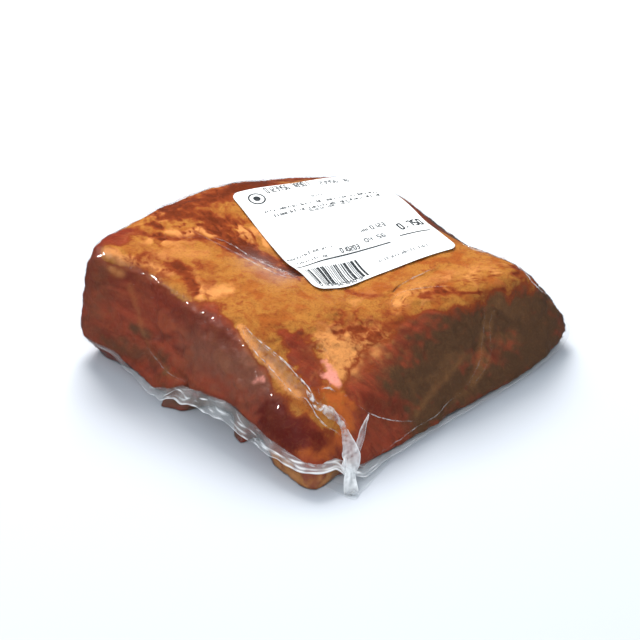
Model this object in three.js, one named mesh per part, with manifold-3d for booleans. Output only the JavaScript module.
import * as THREE from 'three';
import Module from 'manifold-3d';

// A vacuum-packed piece of smoked pork shoulder with a paper label on top.
// Millimetres, +Z up. X runs along the right-hand cut face, Y along the left-hand one.

// ---- Driving dimensions ------------------------------------------------------------
const FORM_CENTRE = new THREE.Vector3(12, 12, 25);
const EDGE_SHARPNESS = 14; // higher gives crisper edges between the faces

// The broad faces: where each one looks (degrees) and its distance from the form centre.
const FACES = {
  left_cut: { azimuth: 175.9, elevation: 13.2, reach: 61.9 },
  right_cut: { azimuth: -95.2, elevation: 27.2, reach: 53.7 },
  top: { azimuth: -81.1, elevation: 84.9, reach: 19.5 },
  front_slope: { azimuth: -113.3, elevation: 63, reach: 30.6 },
  nose: { azimuth: -159.8, elevation: 44.3, reach: 58.8 },
  back: { azimuth: 92, elevation: 10, reach: 69.1 },
  back_right: { azimuth: -5.7, elevation: 14.1, reach: 76.7 },
  back_corner: { azimuth: 49.9, elevation: 13.2, reach: 78.9 },
  back_top: { azimuth: 62.3, elevation: 71.1, reach: 39.9 },
  label_slope: { azimuth: 10.9, elevation: 71.1, reach: 39.3 },
  right_end: { azimuth: -21.4, elevation: 18.7, reach: 97.6 },
  right_rim: { azimuth: -12.3, elevation: 45.7, reach: 55.5 },
  left_end: { azimuth: 131, elevation: -5.8, reach: 122.2 },
  base: { azimuth: 0, elevation: -90, reach: 25.8 },
  under_right: { azimuth: -62.5, elevation: -46.1, reach: 84.5 },
  under_back: { azimuth: 60, elevation: -42, reach: 62.7 },
};

// Soft swells and hollows of the muscle and fat, each along a short line.
const SWELLS = {
  left_hump: { from: [-34, 76, 48], to: [-16, 22, 44], reach: 12, rise: 1 },
  trough: { from: [4, 54, 47], to: [7, 24, 43], reach: 10, rise: -1.5 },
  valley: { from: [8, 4, 42], to: [0, -30, 37], reach: 13, rise: -1.9 },
  label_dip: { from: [9, 44, 46], to: [5, 28, 46], reach: 10, rise: -4.5 },
  front_dip: { from: [16, -8, 43], to: [30, -12, 43], reach: 11, rise: -3.5 },
  label_valley: { from: [10, -8, 42], to: [54, -16, 42], reach: 13, rise: -2.1 },
  label_edge: { from: [16, 20, 48], to: [10, 8, 46], reach: 9, rise: 2.5 },
  right_hump: { from: [27, -33, 41], to: [64, -43, 37], reach: 11, rise: 3.8 },
  back_notch: { from: [77, 0, 42], to: [80, -16, 40], reach: 9, rise: -4.4 },
  left_shoulder: { from: [-48, 74, 40], to: [-54, 80, 22], reach: 12, rise: 10.9 },
  right_tip: { from: [84, -52, 24], to: [90, -54, 8], reach: 10, rise: 2.9 },
  back_rise: { from: [-8, 74, 48], to: [20, 66, 48], reach: 14, rise: 6.7 },
};

// The film margin that runs round the pack, as stations round the form centre: the height of
// its root, its width, how far its rim hangs down, and how far the side below it tucks in.
const MARGIN_THICKNESS = 0.8;
const MARGIN = [
  { azimuth: -168, height: 16.0, width: 4.0, drop: 5.0, tuck: 12.0 },
  { azimuth: -158, height: 14.0, width: 4.0, drop: 5.0, tuck: 9.0 },
  { azimuth: -149, height: 12.0, width: 3.5, drop: 4.0, tuck: 6.0 },
  { azimuth: -141, height: 10.5, width: 3.0, drop: 2.5, tuck: 2.0 },
  { azimuth: -134, height: 10.0, width: 3.0, drop: 2.0, tuck: 1.5 },
  { azimuth: -130, height: 7.0, width: 6.0, drop: 3.0, tuck: 1.5 }, // the ear
  { azimuth: -126, height: 3.5, width: 6.0, drop: 1.8, tuck: 2.0 },
  { azimuth: -118, height: 2.6, width: 3.0, drop: 1.2, tuck: 2.5 },
  { azimuth: -90, height: 3.0, width: 2.5, drop: 1.2, tuck: 3.5 },
  { azimuth: -62, height: 2.6, width: 2.5, drop: 1.2, tuck: 3.0 },
  { azimuth: -50, height: 4.0, width: 3.0, drop: 1.6, tuck: 6.0 },
  { azimuth: -43, height: 8.0, width: 4.0, drop: 3.0, tuck: 10.0 },
  { azimuth: -32, height: 9.0, width: 4.0, drop: 3.0, tuck: 10.0 },
  { azimuth: 0, height: 8.0, width: 4.0, drop: 3.0, tuck: 8.0 },
  { azimuth: 47, height: 8.0, width: 6.0, drop: 3.0, tuck: 8.0 },
  { azimuth: 90, height: 9.0, width: 4.0, drop: 3.0, tuck: 7.0 },
  { azimuth: 128, height: 10.0, width: 3.0, drop: 2.5, tuck: 7.0 },
  { azimuth: 141, height: 10.0, width: 2.5, drop: 2.5, tuck: 8.0 },
  { azimuth: 148, height: 6.0, width: 3.0, drop: 2.5, tuck: 6.0 },
  { azimuth: 157, height: 4.2, width: 3.5, drop: 2.0, tuck: 5.0 },
  { azimuth: 163, height: 7.0, width: 4.0, drop: 3.5, tuck: 8.0 },
  { azimuth: 171, height: 12.0, width: 4.0, drop: 4.5, tuck: 11.0 },
  { azimuth: 180, height: 14.0, width: 4.0, drop: 4.5, tuck: 11.0 },
];

// Mesh density of the pack.
const SECTORS = 104;
const RINGS_ABOVE = 24;
const RINGS_BELOW = 4;
const RINGS_SOLE = 3;
const PROFILE_SAMPLES = 160;

// Folds of loose film that stand on the pack, each along headings (azimuth, elevation).
const FILM_FOLDS = [
  {
    along: [[-170, 18.5], [-161, 14], [-154, 9.5], [-146, 5], [-140, 1.5], [-135, -3],
      [-131.5, -7.5]],
    width: 5.0, thickness: 2.0, lift: 0.2, turns: 0,
  },
  {
    along: [[-131, -3], [-130, -6], [-129.5, -9], [-129.5, -12], [-129.5, -15]],
    width: 6.5, thickness: 1.6, lift: 1.6, turns: 0.5,
  },
];
const FOLD_STEPS = 28;
const FOLD_SIDES = 10;

// The label, as it lies seen from above.
const LABEL = {
  centre: [39.2, 22.6], turn: -17, width: 66.6, height: 68.8, corner: 4,
  thickness: 0.4, gap: 0.4, columns: 16, rows: 18,
};

// ---- The form ----------------------------------------------------------------------
const radians = THREE.MathUtils.degToRad;

/** Unit vector of an azimuth and an elevation in degrees. */
function heading(azimuth, elevation) {
  const a = radians(azimuth);
  const e = radians(elevation);
  return new THREE.Vector3(Math.cos(a) * Math.cos(e), Math.sin(a) * Math.cos(e), Math.sin(e));
}

const faces = Object.values(FACES).map(
  (f) => ({ normal: heading(f.azimuth, f.elevation), reach: f.reach }));
const swellLines = Object.values(SWELLS).map((s) => ({
  line: new THREE.Line3(new THREE.Vector3(...s.from), new THREE.Vector3(...s.to)),
  reach: s.reach,
  rise: s.rise,
}));

/** Distance from the form centre to the skin along a direction. */
function skinRadius(direction) {
  let sum = 0;
  for (const { normal, reach } of faces) {
    sum += (Math.max(0, normal.dot(direction)) / reach) ** EDGE_SHARPNESS;
  }
  const radius = sum ** (-1 / EDGE_SHARPNESS);
  const point = FORM_CENTRE.clone().addScaledVector(direction, radius);
  const nearest = new THREE.Vector3();
  let rise = 0;
  for (const swell of swellLines) {
    swell.line.closestPointToPoint(point, true, nearest);
    const q = nearest.distanceTo(point) / swell.reach;
    rise += swell.rise * Math.exp(-0.5 * q * q);
  }
  return radius + rise;
}

/** Point of the skin along a direction, resting on the ground plane. */
function skinPoint(direction, lift = 0) {
  const point = FORM_CENTRE.clone().addScaledVector(direction, skinRadius(direction) + lift);
  point.z = Math.max(0, point.z);
  return point;
}

/** Elevation at which the skin reaches a height, in one azimuth. */
function elevationAtHeight(azimuth, height) {
  let low = -60;
  let high = 10;
  for (let step = 0; step < 30; step += 1) {
    const middle = (low + high) / 2;
    if (skinPoint(heading(azimuth, middle)).z < height) low = middle;
    else high = middle;
  }
  return (low + high) / 2;
}

/** Points spaced evenly along the skin between two elevations, ends left out. */
function skinProfile(azimuth, from, to, count) {
  const samples = [];
  for (let i = 0; i <= PROFILE_SAMPLES; i += 1) {
    samples.push(skinPoint(heading(azimuth, THREE.MathUtils.lerp(from, to, i / PROFILE_SAMPLES))));
  }
  const run = [0];
  for (let i = 1; i < samples.length; i += 1) {
    run.push(run[i - 1] + samples[i].distanceTo(samples[i - 1]));
  }
  const points = [];
  for (let k = 1, i = 1; k < count; k += 1) {
    const target = (run.at(-1) * k) / count;
    while (run[i] < target) i += 1;
    const part = (target - run[i - 1]) / (run[i] - run[i - 1]);
    points.push(samples[i - 1].clone().lerp(samples[i], part));
  }
  return points;
}

/** The film margin's measures at an azimuth. */
function marginAt(azimuth) {
  const first = MARGIN[0].azimuth;
  const turned = THREE.MathUtils.euclideanModulo(azimuth - first, 360);
  const stations = MARGIN.map(
    (s) => ({ ...s, turned: THREE.MathUtils.euclideanModulo(s.azimuth - first, 360) }));
  stations.push({ ...stations[0], turned: 360 });
  const after = stations.findIndex((s, i) => i > 0 && s.turned >= turned);
  const a = stations[after - 1];
  const b = stations[after];
  const t = THREE.MathUtils.smoothstep(turned, a.turned, b.turned);
  const between = (name) => THREE.MathUtils.lerp(a[name], b[name], t);
  return {
    height: between('height'), width: between('width'), drop: between('drop'),
    tuck: between('tuck'),
  };
}

/** Points spaced evenly on a straight line, its start left out. */
function straightSteps(from, to, count) {
  return Array.from({ length: count }, (_, k) => from.clone().lerp(to, (k + 1) / count));
}

/** One column of the pack: from the crown over the margin, down the tucked-in side, inwards. */
function packColumn(azimuth) {
  const { height, width, drop, tuck } = marginAt(azimuth);
  const half = MARGIN_THICKNESS / 2;
  const outward = heading(azimuth, 0);
  const upper = elevationAtHeight(azimuth, height + half);
  const lower = elevationAtHeight(azimuth, height - half);
  const rootAbove = skinPoint(heading(azimuth, upper));
  const rootBelow = skinPoint(heading(azimuth, lower));
  const tipAbove = rootAbove.clone().addScaledVector(outward, width).setZ(height - drop + half);
  const tipBelow = tipAbove.clone().setZ(height - drop - half);
  const foot = rootBelow.clone().addScaledVector(outward, -tuck).setZ(0);
  const sole = straightSteps(foot, FORM_CENTRE.clone().setZ(0), RINGS_SOLE).slice(0, -1);
  return [
    ...skinProfile(azimuth, 90, upper, RINGS_ABOVE), rootAbove, tipAbove, tipBelow, rootBelow,
    ...straightSteps(rootBelow, foot, RINGS_BELOW), ...sole,
  ];
}

/** Indexed geometry of columns that wrap round, closed by two end points. */
function closedFromColumns(columns, startPoint, endPoint) {
  const count = columns.length;
  const rows = columns[0].length;
  const points = [startPoint, ...columns.flat(), endPoint];
  const at = (column, row) => 1 + (column % count) * rows + row;
  const last = points.length - 1;
  const index = [];
  for (let c = 0; c < count; c += 1) {
    index.push(0, at(c, 0), at(c + 1, 0));
    for (let r = 0; r < rows - 1; r += 1) {
      index.push(at(c, r), at(c, r + 1), at(c + 1, r + 1));
      index.push(at(c, r), at(c + 1, r + 1), at(c + 1, r));
    }
    index.push(at(c, rows - 1), last, at(c + 1, rows - 1));
  }
  const geometry = new THREE.BufferGeometry();
  geometry.setAttribute('position', new THREE.Float32BufferAttribute(
    points.flatMap((p) => p.toArray()), 3));
  geometry.setIndex(index);
  return geometry;
}

/** The sealed pack with its film margin. */
function packBody() {
  const columns = [];
  for (let s = 0; s < SECTORS; s += 1) {
    columns.push(packColumn(-180 + (360 * s) / SECTORS));
  }
  return closedFromColumns(columns, skinPoint(heading(0, 90)), FORM_CENTRE.clone().setZ(0));
}

/** A fold of film: a flat oval section swept along the skin, turning as it goes. */
function filmFold({ along, width, thickness, lift, turns }) {
  const curve = new THREE.CatmullRomCurve3(
    along.map(([azimuth, elevation]) => skinPoint(heading(azimuth, elevation), lift)));
  const columns = Array.from({ length: FOLD_SIDES }, () => []);
  for (let k = 0; k <= FOLD_STEPS; k += 1) {
    const t = k / FOLD_STEPS;
    const centre = curve.getPoint(t);
    const tangent = curve.getTangent(t);
    const outward = centre.clone().sub(FORM_CENTRE).normalize();
    const across = new THREE.Vector3().crossVectors(tangent, outward).normalize();
    const turn = turns * Math.PI * t;
    across.applyAxisAngle(tangent, turn);
    const through = new THREE.Vector3().crossVectors(across, tangent).normalize();
    const taper = 0.3 + 0.7 * Math.sin(Math.PI * t) ** 0.6;
    for (let s = 0; s < FOLD_SIDES; s += 1) {
      const angle = (2 * Math.PI * s) / FOLD_SIDES;
      const point = centre.clone()
        .addScaledVector(across, 0.5 * width * taper * Math.cos(angle))
        .addScaledVector(through, 0.5 * thickness * taper * Math.sin(angle));
      point.z = Math.max(0.3, point.z);
      columns[s].push(point);
    }
  }
  return closedFromColumns(columns, curve.getPoint(0), curve.getPoint(1));
}

// ---- The label ---------------------------------------------------------------------
/** Height of the skin over a point of the ground plane. */
function skinHeight(x, y) {
  let low = FORM_CENTRE.z;
  let high = 70;
  for (let step = 0; step < 30; step += 1) {
    const middle = (low + high) / 2;
    const offset = new THREE.Vector3(x, y, middle).sub(FORM_CENTRE);
    const distance = offset.length();
    if (distance < skinRadius(offset.divideScalar(distance))) low = middle;
    else high = middle;
  }
  return (low + high) / 2;
}

/** Half the label's width at a distance up or down from its middle. */
function labelHalfWidth(up) {
  const into = Math.max(0, Math.abs(up) - (LABEL.height / 2 - LABEL.corner));
  return LABEL.width / 2 - LABEL.corner + Math.sqrt(Math.max(0, LABEL.corner ** 2 - into ** 2));
}

/** A thin sheet with round corners that lies on the pack. */
function labelBody() {
  const { columns, rows, thickness, gap } = LABEL;
  const turn = radians(LABEL.turn);
  const points = [];
  for (const lift of [gap, gap + thickness]) {
    for (let r = 0; r <= rows; r += 1) {
      const up = (-LABEL.height / 2) * Math.cos((Math.PI * r) / rows);
      for (let c = 0; c <= columns; c += 1) {
        const side = labelHalfWidth(up) * ((2 * c) / columns - 1);
        const x = LABEL.centre[0] + side * Math.cos(turn) - up * Math.sin(turn);
        const y = LABEL.centre[1] + side * Math.sin(turn) + up * Math.cos(turn);
        points.push(x, y, skinHeight(x, y) + lift);
      }
    }
  }
  const layer = (rows + 1) * (columns + 1);
  const at = (r, c, top) => r * (columns + 1) + c + (top ? layer : 0);
  const index = [];
  const quad = (a, b, c, d) => index.push(a, b, c, a, c, d);
  for (let r = 0; r < rows; r += 1) {
    for (let c = 0; c < columns; c += 1) {
      quad(at(r, c, 1), at(r, c + 1, 1), at(r + 1, c + 1, 1), at(r + 1, c, 1));
      quad(at(r, c, 0), at(r + 1, c, 0), at(r + 1, c + 1, 0), at(r, c + 1, 0));
    }
    quad(at(r, 0, 0), at(r, 0, 1), at(r + 1, 0, 1), at(r + 1, 0, 0));
    quad(at(r, columns, 0), at(r + 1, columns, 0), at(r + 1, columns, 1), at(r, columns, 1));
  }
  for (let c = 0; c < columns; c += 1) {
    quad(at(0, c, 0), at(0, c + 1, 0), at(0, c + 1, 1), at(0, c, 1));
    quad(at(rows, c, 0), at(rows, c, 1), at(rows, c + 1, 1), at(rows, c + 1, 0));
  }
  const geometry = new THREE.BufferGeometry();
  geometry.setAttribute('position', new THREE.Float32BufferAttribute(points, 3));
  geometry.setIndex(index);
  return geometry;
}

// ---- Joining -----------------------------------------------------------------------
const wasm = await Module();
wasm.setup();

/** A solid for joining, from an indexed geometry. */
function toSolid(geometry) {
  return new wasm.Manifold(new wasm.Mesh({
    numProp: 3,
    vertProperties: new Float32Array(geometry.attributes.position.array),
    triVerts: new Uint32Array(geometry.index.array),
  }));
}

/** A geometry from a joined solid. */
function fromSolid(solid) {
  const mesh = solid.getMesh();
  const geometry = new THREE.BufferGeometry();
  geometry.setAttribute('position', new THREE.BufferAttribute(mesh.vertProperties, 3));
  geometry.setIndex(new THREE.BufferAttribute(mesh.triVerts, 1));
  return geometry;
}

/** The pack with its folds joined on. */
function packWithFolds() {
  return fromSolid(FILM_FOLDS.reduce(
    (solid, fold) => solid.add(toSolid(filmFold(fold))), toSolid(packBody())));
}

/** A named mesh with its own material. */
function namedMesh(name, geometry, color, roughness) {
  geometry.computeVertexNormals();
  const material = new THREE.MeshStandardMaterial({ color, roughness, metalness: 0 });
  material.name = name;
  const mesh = new THREE.Mesh(geometry, material);
  mesh.name = name;
  return mesh;
}

const pack = packWithFolds();
const label = labelBody();

// Stand the whole on the middle of its footprint.
pack.computeBoundingBox();
const middle = pack.boundingBox.getCenter(new THREE.Vector3());
for (const geometry of [pack, label]) geometry.translate(-middle.x, -middle.y, 0);

const part = new THREE.Group();
part.name = 'smoked_pork_shoulder';
part.add(namedMesh('vacuum_pack', pack, 0x9c5428, 0.3));
part.add(namedMesh('label', label, 0xf4f3f1, 0.5));

export default part;
